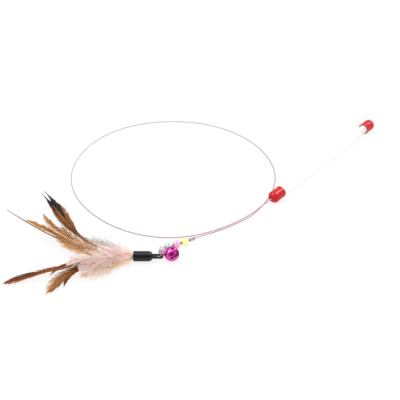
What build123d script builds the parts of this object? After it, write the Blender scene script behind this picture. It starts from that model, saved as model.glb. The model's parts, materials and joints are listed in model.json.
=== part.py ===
from build123d import *
import os
from math import cos, pi, radians, sin, sqrt, tan

# Cat teaser wand: a clear tube handle with a vinyl cap on each end, a springy coated steel wire, and at the
# wire's far end a crimped eye that carries four beads, a jingle bell and a capped bunch of feathers.
# Millimetres. The origin is on the tube's axis at mid length, +X runs to the rear cap and +Z is up.

# Handle tube and its push-on caps
TUBE_OD = 10.0
TUBE_WALL = 1.2
TUBE_LENGTH = 183.6
CAP_WALL = 1.075
CAP_FIT = 0.05
CAP_LENGTH = 16.0
CAP_END = 2.4
CAP_LIP = 0.4

# Wire, its dimple in the front cap and its anchor in the tube
WIRE_D = 1.0
WIRE_HOLE_PLAY = 0.4
DIMPLE_D = 3.6
DIMPLE_DEPTH = 1.2
DIMPLE_LAND = 0.3
PIVOT_GAP = 0.2
PLUG_LENGTH = 8.0
PLUG_FIT = 0.05
WIRE_FIT = 0.1
CRIMP_FIT = 0.02
ANCHOR_OD = 2.4
ANCHOR_LENGTH = 5.0

# Route of the free wire: x from the wire's pivot, y, and how far it is lifted off the table. It comes down
# from the nose, goes once round on the table and comes back past the front cap, under itself.
WIRE_ROUTE = [
    (-17, 0, 5.5), (-41, 1.4, 4.5), (-68, 10.3, 2.5), (-94, 26.3, 0.1), (-117, 51, 0),
    (-130, 88, 0), (-128.8, 130, 0), (-113.3, 170.5, 0), (-79.7, 204, 0), (-31.7, 220, 0),
    (14, 213, 0), (51, 186.5, 0), (75, 149, 0), (82, 104.7, 0), (70.7, 61.6, 0),
    (46.5, 28.5, 0), (15, 9.3, 0), (-25, 2.6, 0), (-53.8, 7.4, 0), (-77, 14.9, 0.2),
]
LEAD_IN = 7.0
ARC_SHARE = 0.45

# Lure: its eye, in x from the wire's pivot and y, and the way the feathers point. Headings in the lure are
# counted from that way, turning to the near side.
LURE_EYE = (-136.5, 25.1)
LURE_HEADING = 130.1

# Doubled wire end: the beads' runs, the run from the last bead to the eye, and the bends
BEAD_HEADINGS = {"bead_yellow": 28.0, "bead_pink": 26.0, "bead_green": 23.0, "bead_clear": 66.5}
BEAD_OD = 7.4
BEAD_GAP = 0.95
BEAD_PLAY = 0.3
STRAND_GAP = 0.4
EYE_RUN = 5.8
EYE_RUN_HEADING = 100.4
EYE_LOOP_PLAY = 0.4
LOOP_STRAIGHT = 0.04
BEND_REACH = 1.2
RISE_REACH = 0.75

# Crimp ferrule on the doubled wire
FERRULE_LENGTH = 6.0
FERRULE_WALL = 0.6
FERRULE_TO_BEAD = 0.77
FERRULE_HEADING = 34.2

# Moulded holder of the feathers, with a flat slotted eye, and the glue in it
HOLDER_OD = 9.6
HOLDER_WALL = 1.0
HOLDER_LENGTH = 17.6
HOLDER_END = 3.6
HOLDER_FLAT_D = 1.6
HOLDER_FROM_EYE = 7.35
EYE_WIDTH = 5.0
EYE_THICKNESS = 1.8
EYE_SLOT_WIDTH = 2.6
EYE_SLOT_LENGTH = 5.2
EYE_SLOT_PLAY = 0.45
EYE_BAR = 1.3
GLUE_RECESS = 4.0
GLUE_FIT = 0.05

# Jingle bell, its shank on the wire and the pellet inside
BELL_OD = 14.0
BELL_WALL = 0.5
BELL_HEADING = 165.3
BELL_SLOT_WIDTH = 1.2
BELL_HOLE_D = 2.4
BELL_HOLE_ANGLE = 60.0
BELL_SLOT_TURN = -12.0
SHANK_CLEAR = 0.8
SHANK_WIRE = 0.8
SHANK_BORE = 2.4
SHANK_PLAY = 0.15
SHANK_STEM = 1.9
SHANK_STEM_D = 1.6
SHANK_FIT = 0.1
SHANK_HEAD_D = 3.4
SHANK_HEAD = 0.6
SHANK_HEAD_PLAY = 0.1
PELLET_D = 3.5
PELLET_PLAY = 0.1

# Feathers: the quill's seat as shares of the circle of the outermost quills (near, up), the shaft's two
# bends and its tip (along from the mouth, near, up from the holder's axis), the vane's greatest width, and
# the shares of the shaft at which the vane starts and is widest
QUILL_D = 1.0
QUILL_OVAL = 0.9
QUILL_EDGE = 0.1
QUILL_IN_GLUE = 6.0
QUILL_FIT = 0.1
VANE_THICKNESS = 0.7
TIP_WIDTH = 0.8
TIP_THICKNESS = 0.4
FEATHERS = {
    "tan_feather": ((-0.81, -0.37), (27, -3, -0.6), (58, -9, 3.1), (78.5, -38, 4.2), 17, 0.26, 0.62),
    "golden_feather": ((-0.37, -0.59), (44, 6, 3.7), (70, -27, 5.7), (104, -43.4, 8.2), 6.5, 0.54, 0.76),
    "small_brown_feather": ((-0.59, 0.03), (36, 0, 5.2), (71, -15, 8.7), (87.3, -44.3, 15.2), 6, 0.62, 0.85),
    "bare_shaft": ((-0.16, -0.16), (48, 5, 5.7), (85, -23, 10.2), (122.4, -52.2, 13.2), 1.5, 0.3, 0.5),
    "brown_wide_feather": ((-0.72, 0.53), (54, 0, 7.2), (63, -36, 13.2), (80, -62.5, 17.2), 12, 0.44, 0.57),
    "black_feather_left": ((-0.28, 0.34), (52, 6, 9.2), (66, -39, 15.2), (91.2, -69.2, 20.2), 8, 0.44, 0.64),
    "black_feather_right": ((-0.31, 0.84), (55, 8, 12.2), (62, -40, 18.2), (88.5, -68.7, 23.2), 8, 0.44, 0.64),
    "short_dark_feather": ((0.37, -0.84), (22, 6, 1.4), (58, 10, -0.8), (58.7, 37, -3.6), 4, 0.5, 0.75),
    "pale_edge_feather": ((0.75, -0.53), (30, 4, 4.7), (63, 18, 0.2), (73, 47.8, -3.3), 12, 0.5, 0.76),
    "slim_brown_feather": ((0.28, -0.19), (28, 3, 4.7), (52, 17, 3.7), (77.5, 22.2, -0.3), 4.5, 0.45, 0.66),
    "long_dark_feather": ((0.75, -0.03), (34, 11, 8.2), (78, 17, 3.2), (113, 33.8, -3.3), 7.5, 0.5, 0.8),
    "curled_feather": ((0.37, 0.31), (26, 9, 9.2), (60, 15, 9.7), (72.2, 27.6, 0.7), 4, 0.5, 0.75),
}
# Down plumes round the quills: the same values, then the plume's thickness
PLUMES = {
    "cream_down_plume": ((0, -1), (14, 5.5, -3.3), (31, 19, -3.1), (45, 24, -3.3), 16, 0.25, 0.62, 2.2),
    "pink_down_plume": ((0.25, 0.87), (12, 8, 9.7), (34, 15, 14.7), (57, 17.5, 8.7), 18, 0.1, 0.5, 4.0),
    "grey_down_plume": ((-0.99, 0.12), (12, -8, 1.2), (30, -18, 2.7), (48, -23, 2.2), 10, 0.15, 0.6, 2.6),
}

# Sizes that follow from the ones above
CAP_BORE = TUBE_OD + CAP_FIT
CAP_OD = CAP_BORE + 2 * CAP_WALL
CAP_ROUND = CAP_OD / 2 - DIMPLE_D / 2 - DIMPLE_LAND
TUBE_ID = TUBE_OD - 2 * TUBE_WALL
TABLE = -CAP_OD / 2
NOSE_X = -(TUBE_LENGTH / 2 + CAP_END)
PIVOT_X = NOSE_X + DIMPLE_DEPTH
HOLDER_HEIGHT = HOLDER_OD / 2
HOLDER_BORE = HOLDER_OD - 2 * HOLDER_WALL
HOLDER_BORE_DEPTH = HOLDER_LENGTH - HOLDER_END
MOUTH = HOLDER_FROM_EYE + HOLDER_LENGTH
QUILL_CIRCLE_R = (HOLDER_BORE - QUILL_D) / 2 - QUILL_EDGE
STRAND_PITCH = WIRE_D + STRAND_GAP
STRAND_LOW = (BEAD_OD - STRAND_PITCH) / 2
STRAND_HIGH = (BEAD_OD + STRAND_PITCH) / 2
EYE_LOOP_R = EYE_THICKNESS / 2 + WIRE_D / 2 + EYE_LOOP_PLAY
LURE = Plane(
    origin=(PIVOT_X + LURE_EYE[0], LURE_EYE[1], TABLE),
    x_dir=(cos(radians(LURE_HEADING)), sin(radians(LURE_HEADING)), 0),
    z_dir=(0, 0, 1),
)
FROM_BELOW = (Align.CENTER, Align.CENTER, Align.MIN)
FROM_ABOVE = (Align.CENTER, Align.CENTER, Align.MAX)


def lure_point(along, near, height):
    """Position of a point given along the feathers, to the near side and up from the table."""
    return LURE.from_local_coords(Vector(along, near, height))


def lure_way(along, near, height):
    """Direction of a vector given in the lure's own axes."""
    return lure_point(along, near, height) - lure_point(0, 0, 0)


def heading(angle):
    """Level unit vector in the lure's own axes."""
    return Vector(cos(radians(angle)), sin(radians(angle)))


def rod(diameter, start, end):
    """Round bar between two points."""
    axis = Vector(end) - Vector(start)
    return extrude(Plane(origin=start, z_dir=axis) * Circle(diameter / 2), axis.length)


def half_turn_tangent(before, corner, after):
    """Tangent of half the angle by which a route turns at a corner."""
    return tan(radians((corner - before).get_angle(after - corner) / 2))


def wire_along(path):
    """Round wire swept along a path."""
    return sweep(Plane(origin=path @ 0, z_dir=path % 0) * Circle(WIRE_D / 2), path)


# Handle: the tube, and the caps pushed over its ends until they bottom
def end_cap():
    """Cap with its closed end up, and the inside of that end at height 0."""
    skirt = CAP_LENGTH - CAP_END
    cap = Pos(0, 0, -skirt) * Cylinder(CAP_OD / 2, CAP_LENGTH, align=FROM_BELOW)
    cap = fillet(cap.edges().sort_by(Axis.Z)[-1], CAP_ROUND)
    cap = fillet(cap.edges().sort_by(Axis.Z)[0], CAP_LIP)
    return cap - Cylinder(CAP_BORE / 2, skirt, align=FROM_ABOVE)


tube_section = Circle(TUBE_OD / 2) - Circle(TUBE_ID / 2)
handle_tube = extrude(Plane.YZ * tube_section, TUBE_LENGTH / 2, both=True)
rear_cap = Pos(TUBE_LENGTH / 2, 0, 0) * Rot(0, 90, 0) * end_cap()

wire_hole_d = WIRE_D + WIRE_HOLE_PLAY
front_cap = Pos(-TUBE_LENGTH / 2, 0, 0) * Rot(0, -90, 0) * end_cap()
front_cap -= rod(wire_hole_d, (NOSE_X, 0, 0), (NOSE_X + CAP_LENGTH, 0, 0))
dimple = Cone(wire_hole_d / 2, DIMPLE_D / 2, DIMPLE_DEPTH, align=FROM_BELOW)
front_cap -= Pos(PIVOT_X, 0, 0) * Rot(0, -90, 0) * dimple

# Anchor: a plug in the tube's mouth, and a ferrule crimped behind it, keep the wire from pulling out
plug_start = -TUBE_LENGTH / 2
plug_end = plug_start + PLUG_LENGTH
anchor_end = plug_end + ANCHOR_LENGTH
anchor_plug = rod(TUBE_ID - PLUG_FIT, (plug_start, 0, 0), (plug_end, 0, 0))
anchor_plug -= rod(WIRE_D + WIRE_FIT, (plug_start, 0, 0), (plug_end, 0, 0))
anchor_ferrule = rod(ANCHOR_OD, (plug_end, 0, 0), (anchor_end, 0, 0))
anchor_ferrule -= rod(WIRE_D + CRIMP_FIT, (plug_end, 0, 0), (anchor_end, 0, 0))
wire_root = rod(WIRE_D, (PIVOT_X + PIVOT_GAP, 0, 0), (anchor_end, 0, 0))

# Doubled wire end: out through the beads on the lower strand, round the holder's eye, back on the upper one
bead_line = [heading(EYE_RUN_HEADING) * -EYE_RUN]
for bead_heading in reversed(BEAD_HEADINGS.values()):
    bead_line.insert(0, bead_line[0] - heading(bead_heading) * (BEAD_OD + BEAD_GAP))
ferrule_start = bead_line[0] - heading(FERRULE_HEADING) * (FERRULE_LENGTH + FERRULE_TO_BEAD)
strand = [ferrule_start, *bead_line]
eye_low = lure_point(0, 0, HOLDER_HEIGHT - EYE_LOOP_R)
eye_high = lure_point(0, 0, HOLDER_HEIGHT + EYE_LOOP_R)
rise = heading(EYE_RUN_HEADING) * -(EYE_LOOP_R + RISE_REACH + LOOP_STRAIGHT)
end_points = [lure_point(p.X, p.Y, STRAND_LOW) for p in strand]
end_points += [eye_low, eye_high, lure_point(rise.X, rise.Y, HOLDER_HEIGHT + EYE_LOOP_R)]
end_points += [lure_point(p.X, p.Y, STRAND_HIGH) for p in reversed(strand)]
bead_reach = [BEND_REACH] * len(bead_line)
end_reach = bead_reach + [EYE_LOOP_R - LOOP_STRAIGHT / 2] * 2 + [RISE_REACH] + bead_reach
corners = zip(end_points, end_points[1:], end_points[2:])
end_radii = [reach / half_turn_tangent(*corner) for reach, corner in zip(end_reach, corners)]
wire_end_loop = wire_along(FilletPolyline(*end_points, radius=end_radii))

# Crimp ferrule: an oval sleeve over both strands
ferrule_way = heading(FERRULE_HEADING)
ferrule_plane = Plane(
    origin=lure_point(ferrule_start.X, ferrule_start.Y, BEAD_OD / 2),
    x_dir=(0, 0, 1),
    z_dir=lure_way(ferrule_way.X, ferrule_way.Y, 0),
)
ferrule_section = SlotCenterToCenter(STRAND_PITCH, WIRE_D + 2 * FERRULE_WALL)
for side in (-1, 1):
    ferrule_section -= Pos(side * STRAND_PITCH / 2, 0) * Circle((WIRE_D + CRIMP_FIT) / 2)
end_ferrule = extrude(ferrule_plane * ferrule_section, FERRULE_LENGTH)

# Free wire: straight runs joined by arcs as large as the runs allow, ending in the ferrule's face
lead_end = end_points[0]
lead_points = [Vector(PIVOT_X - PIVOT_GAP, 0, 0)]
lead_points += [Vector(PIVOT_X + x, y, TABLE + WIRE_D / 2 + lift) for x, y, lift in WIRE_ROUTE]
lead_points += [lead_end - lure_way(ferrule_way.X, ferrule_way.Y, 0) * LEAD_IN, lead_end]
lead_radii = []
for before, corner, after in zip(lead_points, lead_points[1:], lead_points[2:]):
    shorter_run = min((corner - before).length, (after - corner).length)
    lead_radii.append(ARC_SHARE * shorter_run / half_turn_tangent(before, corner, after))
lead_path = FilletPolyline(*lead_points, radius=lead_radii)
wire_lead = wire_along(lead_path)
print("wire radii", [round(r, 1) for r in lead_radii])
print("wire length", round(lead_path.length, 1))
plain_volume = pi * WIRE_D**2 / 4 * lead_path.length
print("wire volume over section times length", round(wire_lead.volume / plain_volume, 4))

# Beads: round, drilled for both strands, one on each run
bead_bore = STRAND_PITCH + WIRE_D + BEAD_PLAY
beads = {}
for name, start, end in zip(BEAD_HEADINGS, bead_line, bead_line[1:]):
    middle = (start + end) / 2
    run = end - start
    bead_plane = Plane(origin=lure_point(middle.X, middle.Y, BEAD_OD / 2), z_dir=lure_way(run.X, run.Y, 0))
    beads[name] = bead_plane * (Sphere(BEAD_OD / 2) - Cylinder(bead_bore / 2, BEAD_OD))

# Bell: a hollow ball with a cross of slots, lying on the table with its ring on the lower strand
strand_way = (end_points[len(bead_line)] - eye_low).normalized()
shank_point = eye_low + strand_way * (EYE_WIDTH / 2 + SHANK_WIRE / 2 + SHANK_CLEAR)
ring_slack = (SHANK_BORE - WIRE_D) / 2 - SHANK_PLAY
ring_from_centre = BELL_OD / 2 + SHANK_STEM + SHANK_WIRE + SHANK_BORE / 2
bell_reach = ring_from_centre + ring_slack
bell_rise = TABLE + BELL_OD / 2 - shank_point.Z
bell_run = heading(BELL_HEADING) * sqrt(bell_reach**2 - bell_rise**2)
bell_centre = shank_point + lure_way(bell_run.X, bell_run.Y, bell_rise)
shank_way = (shank_point - bell_centre).normalized()
bell_inner_r = BELL_OD / 2 - BELL_WALL
slot_top = -BELL_OD / 2 * cos(radians(BELL_HOLE_ANGLE))
shell = Sphere(BELL_OD / 2) - Sphere(bell_inner_r)
shell -= Cylinder((SHANK_STEM_D + SHANK_FIT) / 2, BELL_OD, align=FROM_BELOW)
cross_turn = Rot(BELL_SLOT_TURN, 0, 0)
for turn in (0, 90):
    slot = Box(BELL_OD, BELL_SLOT_WIDTH, BELL_OD, align=FROM_ABOVE)
    shell -= cross_turn * Rot(0, 0, turn) * Pos(0, 0, slot_top) * slot
for turn in (0, 90, 180, 270):
    end_hole = Cylinder(BELL_HOLE_D / 2, BELL_OD, align=FROM_BELOW)
    shell -= cross_turn * Rot(0, 0, turn) * Rot(0, 180 - BELL_HOLE_ANGLE, 0) * end_hole
bell_shell = Plane(origin=bell_centre, x_dir=(0, 0, 1), z_dir=shank_way) * shell

# Shank: a ring on a stem that is headed over inside the shell
ring_r = (SHANK_BORE + SHANK_WIRE) / 2
ring_normal = strand_way - shank_way * strand_way.dot(shank_way)
ring_plane = Plane(origin=bell_centre + shank_way * ring_from_centre, x_dir=shank_way, z_dir=ring_normal)
head_top = sqrt(bell_inner_r**2 - (SHANK_HEAD_D / 2) ** 2) - SHANK_HEAD_PLAY
head_start = bell_centre + shank_way * (head_top - SHANK_HEAD)
bell_shank = ring_plane * Torus(ring_r, SHANK_WIRE / 2)
bell_shank += rod(SHANK_STEM_D, head_start, bell_centre + shank_way * (ring_from_centre - ring_r))
bell_shank += rod(SHANK_HEAD_D, head_start, bell_centre + shank_way * head_top)

pellet_drop = bell_inner_r - PELLET_D / 2 - PELLET_PLAY
bell_pellet = Pos(*(bell_centre - Vector(0, 0, pellet_drop))) * Sphere(PELLET_D / 2)

# Feather holder: a round-ended cap whose flat eye hangs on the wire's loop
holder_plane = Plane(
    origin=lure_point(HOLDER_FROM_EYE, 0, HOLDER_HEIGHT),
    x_dir=lure_way(0, 1, 0),
    z_dir=lure_way(1, 0, 0),
)
body = Cylinder(HOLDER_OD / 2, HOLDER_LENGTH, align=FROM_BELOW)
body = fillet(body.edges().sort_by(Axis.Z)[0], (HOLDER_OD - HOLDER_FLAT_D) / 2)
body -= Pos(0, 0, HOLDER_END) * Cylinder(HOLDER_BORE / 2, HOLDER_BORE_DEPTH, align=FROM_BELOW)
slot_start = -(WIRE_D / 2 + EYE_SLOT_PLAY)
eye_start = slot_start - EYE_BAR
eye_length = HOLDER_FROM_EYE + HOLDER_END - eye_start
eye_plate = Pos(eye_start + EYE_WIDTH / 2, 0) * Circle(EYE_WIDTH / 2)
eye_plate += Pos(eye_start + EYE_WIDTH / 2, 0) * Rectangle(
    eye_length - EYE_WIDTH / 2, EYE_WIDTH, align=(Align.MIN, Align.CENTER)
)
eye_plate -= Pos(slot_start + EYE_SLOT_LENGTH / 2, 0) * SlotOverall(EYE_SLOT_LENGTH, EYE_SLOT_WIDTH)
eye = Pos(0, 0, HOLDER_HEIGHT) * extrude(eye_plate, EYE_THICKNESS / 2, both=True)
feather_cap = holder_plane * body + LURE * eye

# Glue plug: fills the holder's bore up to a recess, with a blind hole for each quill
glue_end = HOLDER_LENGTH - GLUE_RECESS
glue = Cylinder((HOLDER_BORE - GLUE_FIT) / 2, glue_end - HOLDER_END, align=FROM_ABOVE)
for row in (FEATHERS | PLUMES).values():
    near, up = [share * QUILL_CIRCLE_R for share in row[0]]
    glue -= Pos(near, up, 0) * Cylinder((QUILL_D + QUILL_FIT) / 2, QUILL_IN_GLUE, align=FROM_ABOVE)
quill_glue = holder_plane * Pos(0, 0, glue_end) * glue


# Feathers: a quill set in the glue, then a thin lens-shaped vane along the curved shaft
def lens(width, thickness):
    """Section between two arcs, wide along X."""
    left = (-width / 2, 0)
    right = (width / 2, 0)
    top = ThreePointArc(left, (0, thickness / 2), right)
    bottom = ThreePointArc(right, (0, -thickness / 2), left)
    return make_face(Curve() + [top, bottom])


def feather(seat, bend_1, bend_2, tip, width, vane_start, widest, thickness=VANE_THICKNESS):
    """One feather or plume with its quill's end in the glue."""
    near, up = [share * QUILL_CIRCLE_R for share in seat]
    route = [(0, near, up), bend_1, bend_2, tip]
    shaft = Bezier(*[lure_point(MOUTH + a, n, HOLDER_HEIGHT + h) for a, n, h in route])
    quill_flat = QUILL_D * QUILL_OVAL
    mouth_plane = Plane(origin=shaft @ 0, x_dir=lure_way(0, 1, 0), z_dir=lure_way(1, 0, 0))
    sections = [mouth_plane * lens(QUILL_D, quill_flat)]
    spread = widest - vane_start
    taper = 1 - widest
    stations = [(vane_start / 2, 0), (vane_start, 0)]
    stations += [(vane_start + spread * s, s * s * (3 - 2 * s)) for s in (1 / 3, 2 / 3)]
    stations += [(widest + taper * s, sqrt(1 - s * s)) for s in (0, 0.4, 0.7, 0.9)]
    stations += [(1, None)]
    for at, share in stations:
        way = shaft % at
        section_plane = Plane(origin=shaft @ at, x_dir=way.cross(Vector(0, 0, 1)), z_dir=way)
        if share is None:
            section = lens(TIP_WIDTH, TIP_THICKNESS)
        else:
            depth = quill_flat + (thickness - quill_flat) * min(1, 2 * share)
            section = lens(QUILL_D + (width - QUILL_D) * share, depth)
        sections.append(section_plane * section)
    quill = extrude(sections[0], -(GLUE_RECESS + QUILL_IN_GLUE))
    return quill + loft(sections, ruled=True)


feathers = {name: feather(*row) for name, row in (FEATHERS | PLUMES).items()}

nodes = {
    "handle_tube": handle_tube,
    "front_cap": front_cap,
    "rear_cap": rear_cap,
    "anchor_plug": anchor_plug,
    "anchor_ferrule": anchor_ferrule,
    "wire_root": wire_root,
    "wire_lead": wire_lead,
    "end_ferrule": end_ferrule,
    "wire_end_loop": wire_end_loop,
    **beads,
    "bell_shell": bell_shell,
    "bell_shank": bell_shank,
    "bell_pellet": bell_pellet,
    "feather_cap": feather_cap,
    "quill_glue": quill_glue,
    **feathers,
}
os.makedirs("parts", exist_ok=True)
for name, solid in nodes.items():
    export_step(solid, f"parts/{name}.step")
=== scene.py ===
import json
import math
import bmesh
import bpy
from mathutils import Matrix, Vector


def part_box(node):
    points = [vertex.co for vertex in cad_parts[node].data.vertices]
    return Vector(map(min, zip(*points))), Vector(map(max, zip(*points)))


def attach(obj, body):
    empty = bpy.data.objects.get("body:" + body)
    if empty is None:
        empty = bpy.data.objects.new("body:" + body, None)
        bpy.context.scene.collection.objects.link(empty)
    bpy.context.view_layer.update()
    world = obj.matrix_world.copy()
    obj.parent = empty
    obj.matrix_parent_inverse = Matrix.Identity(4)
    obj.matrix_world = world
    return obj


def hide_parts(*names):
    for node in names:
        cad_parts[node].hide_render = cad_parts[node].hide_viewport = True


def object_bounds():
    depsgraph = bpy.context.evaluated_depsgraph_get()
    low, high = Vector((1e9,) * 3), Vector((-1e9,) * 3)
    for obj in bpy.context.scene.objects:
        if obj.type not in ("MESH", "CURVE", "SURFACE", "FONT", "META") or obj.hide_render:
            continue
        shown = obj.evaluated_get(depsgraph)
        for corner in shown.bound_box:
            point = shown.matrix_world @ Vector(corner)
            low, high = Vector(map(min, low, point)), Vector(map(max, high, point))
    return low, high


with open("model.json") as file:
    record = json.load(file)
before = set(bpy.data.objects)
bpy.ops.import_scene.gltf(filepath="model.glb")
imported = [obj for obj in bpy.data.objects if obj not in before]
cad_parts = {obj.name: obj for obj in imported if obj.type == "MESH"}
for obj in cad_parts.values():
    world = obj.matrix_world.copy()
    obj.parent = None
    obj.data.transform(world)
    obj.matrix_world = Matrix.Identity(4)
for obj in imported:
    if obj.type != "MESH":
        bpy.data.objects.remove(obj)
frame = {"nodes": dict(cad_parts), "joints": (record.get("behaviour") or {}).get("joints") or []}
cad_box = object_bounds()
nodes = frame["nodes"]
joints = {joint["name"]: joint for joint in frame["joints"]}


# Handle tube: a length of thin clear PVC tube, extruded and cut square.
# The draw through the die leaves it glossy, with faint lines along its length; a haze makes it look whitish.
MM = 0.001


def linear(hex_colour):
    """Linear RGBA of an sRGB hex colour."""
    shares = [int(hex_colour[i:i + 2], 16) / 255 for i in (1, 3, 5)]
    return [*(s / 12.92 if s <= 0.04045 else ((s + 0.055) / 1.055) ** 2.4 for s in shares), 1]


def connect(tree, node, inputs):
    """Set a node's inputs: each gets a value, or a link from a socket or from another node's live output."""
    for key, value in inputs.items():
        if isinstance(value, bpy.types.Node):
            value = next(socket for socket in value.outputs if socket.enabled)
        if isinstance(value, bpy.types.NodeSocket):
            tree.links.new(value, node.inputs[key])
        else:
            node.inputs[key].default_value = value


def add(tree, kind, inputs=None, **settings):
    """Add a node with its settings, and set its inputs."""
    node = tree.nodes.new(kind)
    for name, value in settings.items():
        setattr(node, name, value)
    connect(tree, node, inputs or {})
    return node


def finish(name, **values):
    """Material with a principled surface, whose constants are set on its own sockets."""
    material = bpy.data.materials.new(name)
    material.use_nodes = True
    surface = material.node_tree.nodes["Principled BSDF"]
    connect(material.node_tree, surface, {key.replace("_", " "): value for key, value in values.items()})
    return material, material.node_tree, surface


def dress(piece, material):
    """Give a piece one material all over."""
    piece.data.materials.clear()
    piece.data.materials.append(material)


# Real draw lines are too fine to show, so these are drawn some five times as wide
DRAW_LINE = 0.5 * MM
DRAW_LENGTH = 25.0 * MM
clear_pvc, tree, surface = finish(
    "extruded clear PVC", Base_Color=linear("#FBFDFD"), Roughness=0.12, IOR=1.53, Alpha=0.45
)
place = add(tree, "ShaderNodeTexCoord").outputs["Object"]
drawn = add(tree, "ShaderNodeMapping", {"Vector": place, "Scale": (DRAW_LINE / DRAW_LENGTH, 1, 1)})
lines = add(tree, "ShaderNodeTexNoise", {"Vector": drawn, "Scale": 1 / DRAW_LINE, "Detail": 1.0})
relief = add(tree, "ShaderNodeBump", {"Height": lines, "Strength": 0.1, "Distance": 0.01 * MM})
connect(tree, surface, {"Normal": relief})
dress(nodes["handle_tube"], clear_pvc)


# End caps: dip-moulded red vinyl, pushed over the tube's ends until they bottom.
# Dipping leaves a round nose, a wall that thins to the skirt and a soft bead round the open end.
CAP_LENGTH = 16.0 * MM
CAP_END = 2.4 * MM
CAP_RADIUS = 6.1 * MM
SKIRT_RADIUS = 5.97 * MM
SKIRT_START = 1.4 * MM
SKIRT_END = 6.0 * MM
SKIRT_DRAFT = 0.03 * MM
CAP_BORE = 5.025 * MM
NOSE_ROUND = 4.0 * MM
LIP = 0.52 * MM
SOFT_EDGE = 0.3 * MM
DIMPLE_RADIUS = 1.8 * MM
DIMPLE_DEPTH = 1.2 * MM
WIRE_HOLE = 0.7 * MM
HOLE_EDGE = 0.12 * MM


def arc(along, radius, size, start, end, steps=8):
    """Points of an arc in an outline, from the axis direction at 0 degrees to straight out at 90."""
    turns = [math.radians(start + (end - start) * i / steps) for i in range(steps + 1)]
    return [(along + size * math.cos(t), radius + size * math.sin(t)) for t in turns]


def turned(name, outline, origin, way, sides=72):
    """Object turned round an axis. The outline closes on itself, or ends on the axis at both ends."""
    turn = Vector(way).to_track_quat("Z", "X").to_matrix()
    mesh = bmesh.new()
    rings = []
    for along, radius in outline:
        count = sides if radius else 1
        angles = [2 * math.pi * i / count for i in range(count)]
        spots = [Vector((radius * math.cos(a), radius * math.sin(a), along)) for a in angles]
        rings.append([mesh.verts.new(Vector(origin) + turn @ spot) for spot in spots])
    pairs = list(zip(rings, rings[1:]))
    if outline[0][1]:
        pairs.append((rings[-1], rings[0]))
    for low, high in pairs:
        for i in range(sides):
            j = i + 1
            corners = [low[i % len(low)], low[j % len(low)], high[j % len(high)], high[i % len(high)]]
            mesh.faces.new(dict.fromkeys(corners)).smooth = True
    bmesh.ops.recalc_face_normals(mesh, faces=mesh.faces)
    piece = bpy.data.objects.new(name, bpy.data.meshes.new(name))
    mesh.to_mesh(piece.data)
    mesh.free()
    bpy.context.scene.collection.objects.link(piece)
    return piece


lip = [
    *arc(LIP, CAP_BORE + LIP / 2, LIP / 2, 270, 180),
    *arc(LIP, CAP_RADIUS - LIP, LIP, 180, 90)[2:],
    (SKIRT_START, SKIRT_RADIUS),
    (SKIRT_END, SKIRT_RADIUS + SKIRT_DRAFT),
]
shoulder = arc(CAP_LENGTH - NOSE_ROUND, CAP_RADIUS - NOSE_ROUND, NOSE_ROUND, 90, 4, 18)
bottom = [(CAP_LENGTH - CAP_END, CAP_BORE - SOFT_EDGE), (CAP_LENGTH - CAP_END - SOFT_EDGE, CAP_BORE)]
dimple = [
    *arc(CAP_LENGTH - SOFT_EDGE, DIMPLE_RADIUS + SOFT_EDGE, SOFT_EDGE, 0, -48, 4),
    (CAP_LENGTH - DIMPLE_DEPTH, WIRE_HOLE + HOLE_EDGE),
    (CAP_LENGTH - DIMPLE_DEPTH - HOLE_EDGE, WIRE_HOLE),
    (CAP_LENGTH - CAP_END, WIRE_HOLE),
]
_, front_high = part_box("front_cap")
rear_low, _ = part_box("rear_cap")
front_cap = turned("front_cap_vinyl", [*lip, *shoulder, *dimple, *bottom], (front_high[0], 0, 0), (-1, 0, 0))
rear_cap = turned(
    "rear_cap_vinyl",
    [(CAP_LENGTH - CAP_END, 0), *bottom, *lip, *shoulder, (CAP_LENGTH, 0)],
    (rear_low[0], 0, 0),
    (1, 0, 0),
)

# Dipped vinyl has a soft gloss with a faint orange peel, and its red lies deeper in some places
DIP_GRAIN = 1.2 * MM
DIP_CLOUD = 6.0 * MM
red_vinyl, tree, surface = finish(
    "dip-moulded red vinyl", Roughness=0.28, IOR=1.53, Specular_IOR_Level=0.2, Subsurface_Weight=0.08,
    Subsurface_Scale=1.5 * MM, Subsurface_Radius=(1.0, 0.15, 0.1),
)
place = add(tree, "ShaderNodeTexCoord").outputs["Object"]
cloud = add(tree, "ShaderNodeTexNoise", {"Vector": place, "Scale": 1 / DIP_CLOUD})
shade = add(tree, "ShaderNodeMix", {
    "Factor": cloud, 6: linear("#B4101A"), 7: linear("#C41C22"),
}, data_type="RGBA")
grain = add(tree, "ShaderNodeTexNoise", {"Vector": place, "Scale": 1 / DIP_GRAIN, "Detail": 2.0})
relief = add(tree, "ShaderNodeBump", {"Height": grain, "Strength": 0.3, "Distance": 0.05 * MM})
connect(tree, surface, {"Base Color": shade, "Normal": relief})
for cap, node in ((front_cap, "front_cap"), (rear_cap, "rear_cap")):
    dress(cap, red_vinyl)
    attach(cap, "handle")
    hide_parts(node)


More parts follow.
